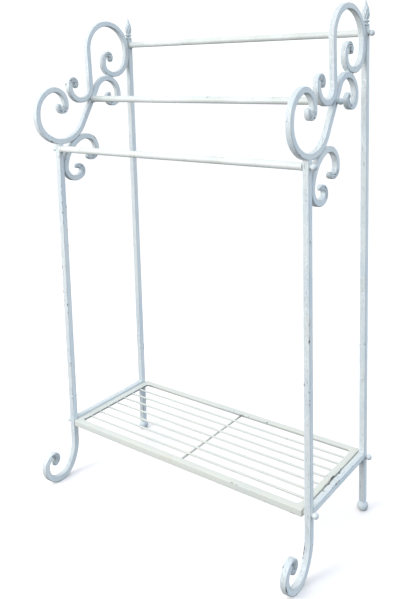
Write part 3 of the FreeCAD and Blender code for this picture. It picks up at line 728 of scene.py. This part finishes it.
def angle_section(width, height):
    """Closed outline of the angle iron as (inward, up, arris), its outer top corner at 0, 0."""
    corners = [(0, 0), (0, -height), (ANGLE_WALL, -height), (ANGLE_WALL, -ANGLE_WALL),
               (width, -ANGLE_WALL), (width, 0)]
    outline = []
    for index, corner in enumerate(corners):
        here = Vector(corner)
        before = (Vector(corners[index - 1]) - here).normalized()
        after_corner = Vector(corners[(index + 1) % len(corners)])
        after = (after_corner - here).normalized()
        for point in (here + before * EDGE_RADIUS, here + (before + after) * EDGE_RADIUS * 0.29,
                      here + after * EDGE_RADIUS):
            outline.append((point.x, point.y, 1.0))
        for share in (0.25, 0.75):
            point = here.lerp(after_corner, share)
            outline.append((point.x, point.y, 0.0))
    return outline


def stations(step, length, width):
    """Where the section stands round the frame: (corner, angle) pairs and shares between them."""
    places = []
    for corner in range(4):
        places += [(corner, 90 * corner + 90 * part / 8, 0) for part in range(9)]
        side_length = width if corner % 2 else length
        pieces = round(side_length / step)
        places += [(corner, 90 * corner + 90, share / pieces) for share in range(1, pieces)]
    return places


def on_frame(corner, angle, share, inward, half_length, half_width):
    """Point of the frame's outline that lies that far inwards of its outer edge."""
    radius = OUTER_CORNER + (INNER_CORNER - OUTER_CORNER) * min(1, inward / ANGLE_WIDTH)

    def corner_point(number, degrees):
        signs = ((1, 1), (-1, 1), (-1, -1), (1, -1))[number % 4]
        turn = math.radians(degrees)
        return Vector((signs[0] * (half_length - inward - radius) + radius * math.cos(turn),
                       signs[1] * (half_width - inward - radius) + radius * math.sin(turn)))

    start = corner_point(corner, angle)
    return start.lerp(corner_point(corner + 1, 90 * (corner + 1)), share) if share else start


def shelf_frame_mesh():
    low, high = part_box("shelf_front_rail")
    side_low, side_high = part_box("shelf_right_rail")
    half_length, half_width = high.x, (side_high.y - side_low.y) / 2
    middle_y = (side_high.y + side_low.y) / 2
    section = angle_section(high.y - low.y, high.z - low.z)
    shape = bmesh.new()
    mark = shape.verts.layers.float.new("arris")
    loops = []
    for corner, angle, share in stations(0.006, 2 * half_length, 2 * half_width):
        loop = []
        for inward, up, arris in section:
            flat = on_frame(corner, angle, share, inward, half_length, half_width)
            vertex = shape.verts.new((flat.x, flat.y + middle_y, high.z + up))
            vertex[mark] = arris
            loop.append(vertex)
        loops.append(loop)
    for here, after in zip(loops, loops[1:] + loops[:1]):
        for index in range(len(section)):
            following = (index + 1) % len(section)
            shape.faces.new((here[index], here[following], after[following], after[index]))
    bmesh.ops.recalc_face_normals(shape, faces=shape.faces)
    for face in shape.faces:
        face.smooth = True
    mesh = bpy.data.meshes.new("shelf_frame")
    shape.to_mesh(mesh)
    shape.free()
    mesh.materials.append(shelf_paint)
    return mesh


SHELF_RAILS = [f"shelf_{side}_rail" for side in ("front", "rear", "left", "right")]
shelf_frame = add_piece("shelf_frame", shelf_frame_mesh(), None)
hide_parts(*SHELF_RAILS)

wire_nodes = sorted(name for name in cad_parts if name.startswith("shelf_wire_"))
wire_ends = []
for node_name in wire_nodes:
    low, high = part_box(node_name)
    centre = (low + high) / 2
    wire_ends.append((Vector((low.x, centre.y, centre.z)), Vector((high.x, centre.y, centre.z))))
wire_diameter = high.z - low.z
wires = grow("shelf_wires", rod_mesh("wires", wire_ends, 0.008, 0.001), rods, Diameter=wire_diameter,
             Waviness=0.0012, Sides=14, Paint=shelf_paint)
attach(wires, "root")
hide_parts(*wire_nodes)
low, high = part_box("shelf_cross_wire")
centre = (low + high) / 2
cross_ends = [(Vector((centre.x, low.y, centre.z)), Vector((centre.x, high.y, centre.z)))]
cross_wire = grow("shelf_cross_rod", rod_mesh("cross_wire", cross_ends, 0.008, 0.001), rods,
                  Diameter=wire_diameter, Waviness=0.0010, Sides=14, Paint=shelf_paint)
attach(cross_wire, "root")
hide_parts("shelf_cross_wire")

# --------------------------------------------------------------------- welds
# Short weld beads hold the bars of a side frame to each other wherever two of them touch, and the
# wires to the shelf's frame.  They were left as laid and painted over.

weld_paint = aged_paint("weld_paint", rubbed=0.5, chip_grain=130.0)
BEAD_PITCH, FRAME_BEAD, WIRE_BEAD = 0.0024, 0.0021, 0.0017


def bead_mesh(radius):
    """A lump of weld metal, flatter than it is wide."""
    shape = bmesh.new()
    bmesh.ops.create_icosphere(shape, subdivisions=2, radius=radius)
    for vertex in shape.verts:
        lump = 1 + 0.10 * math.sin(9 * vertex.co.x / radius) * math.cos(7 * vertex.co.y / radius)
        vertex.co = Vector((vertex.co.x * lump, vertex.co.y * lump, vertex.co.z * 0.8))
    mesh = bpy.data.meshes.new("bead")
    shape.to_mesh(mesh)
    shape.free()
    return mesh


def touching(line, other, reach):
    """Middle points and directions of the places where two lines come within reach."""
    found, run = [], []
    for index, point in enumerate(line):
        nearest = min(other, key=lambda candidate: (candidate - point).length_squared)
        gap = (nearest - point).length
        if gap < reach:
            run.append((gap, index, nearest))
        elif run:
            found.append(min(run, key=lambda item: item[0]))
            run = []
    if run:
        found.append(min(run, key=lambda item: item[0]))
    places = []
    for gap, index, nearest in found:
        ahead = line[min(index + 1, len(line) - 1)] - line[max(index - 1, 0)]
        places.append(((line[index] + nearest) / 2, ahead.normalized()))
    return places


JOINTS = (("front_leg", "bracket_scroll"), ("lower_scroll", "bracket_scroll"),
          ("upper_scroll", "lower_scroll"), ("upper_scroll", "rear_post"), ("lower_scroll", "front_leg"))
CROTCH, WELD_INSET = 0.0068, 0.0105
for side in ("left", "right"):
    low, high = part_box(f"{side}_lower_scroll")
    plane, bar = (low.x + high.x) / 2, high.x - low.x
    beads = []
    for first, second in JOINTS:
        for middle, ahead in touching(BAR_LINES[side, first], BAR_LINES[side, second], bar * 1.08):
            for end in (-1, 1):
                crotch = middle + ahead * (CROTCH * end)
                beads += [((plane + across * BEAD_PITCH * 0.75, crotch.x, crotch.y), (0, 0, 0))
                          for across in (-1.5, -0.5, 0.5, 1.5)]
    low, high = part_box(f"{side}_crossbar")
    for y in (low.y, high.y):
        for z in (low.z, high.z):
            beads += [((plane + across * BEAD_PITCH, y, z), (0, 0, 0)) for across in (-1.5, -0.5, 0.5, 1.5)]
    welds = copies_of(f"{side}_frame_welds", bead_mesh(FRAME_BEAD), beads, weld_paint, Seed=7,
                      Size_Spread=0.5, Turn_Spread=3.0)

wire_welds = []
for start, end in wire_ends:
    for x in (start.x + WELD_INSET, end.x - WELD_INSET):
        wire_welds.append(((x, start.y, start.z + 0.0012), (0, 0, 0)))
    wire_welds.append(((centre.x, start.y, start.z - wire_diameter / 2), (0, 0, 0)))
shelf_welds = copies_of("shelf_welds", bead_mesh(WIRE_BEAD), wire_welds, weld_paint, Seed=11,
                        Size_Spread=0.5, Turn_Spread=3.0)

# --------------------------------------------------------------------- hidden fittings
# Spacers stand between the side frames and the shelf; the plugs in the rails and the weld nuts in
# the shelf are plain turned steel and hardly show.


DULL_STEEL, BRIGHT_STEEL = (0.30, 0.30, 0.31, 1), (0.42, 0.42, 0.43, 1)


def plain_steel():
    material = bpy.data.materials.new("plain_steel")
    material.use_nodes = True
    tree = material.node_tree
    shader = tree.nodes["Principled BSDF"]
    place = node(tree, "ShaderNodeTexCoord").outputs["Object"]
    grain = node(tree, "ShaderNodeTexNoise", {"Vector": place, "Scale": 240.0, "Detail": 3.0}).outputs["Fac"]
    colour = blend(tree, grain, DULL_STEEL, BRIGHT_STEEL)
    tree.links.new(colour, shader.inputs["Base Color"])
    tree.links.new(sums(tree, "ADD", sums(tree, "MULTIPLY", grain, 0.2), 0.3), shader.inputs["Roughness"])
    shader.inputs["Metallic"].default_value = 1.0
    return material


def repaint(node_name, material):
    mesh_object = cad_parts[node_name]
    mesh_object.data.materials.clear()
    mesh_object.data.materials.append(material)


bright_steel = plain_steel()
for node_name in ("top_rail_inserts", "middle_rail_inserts", "front_rail_inserts", "shelf_weld_nuts"):
    repaint(node_name, bright_steel)
repaint("shelf_spacers", shelf_paint)
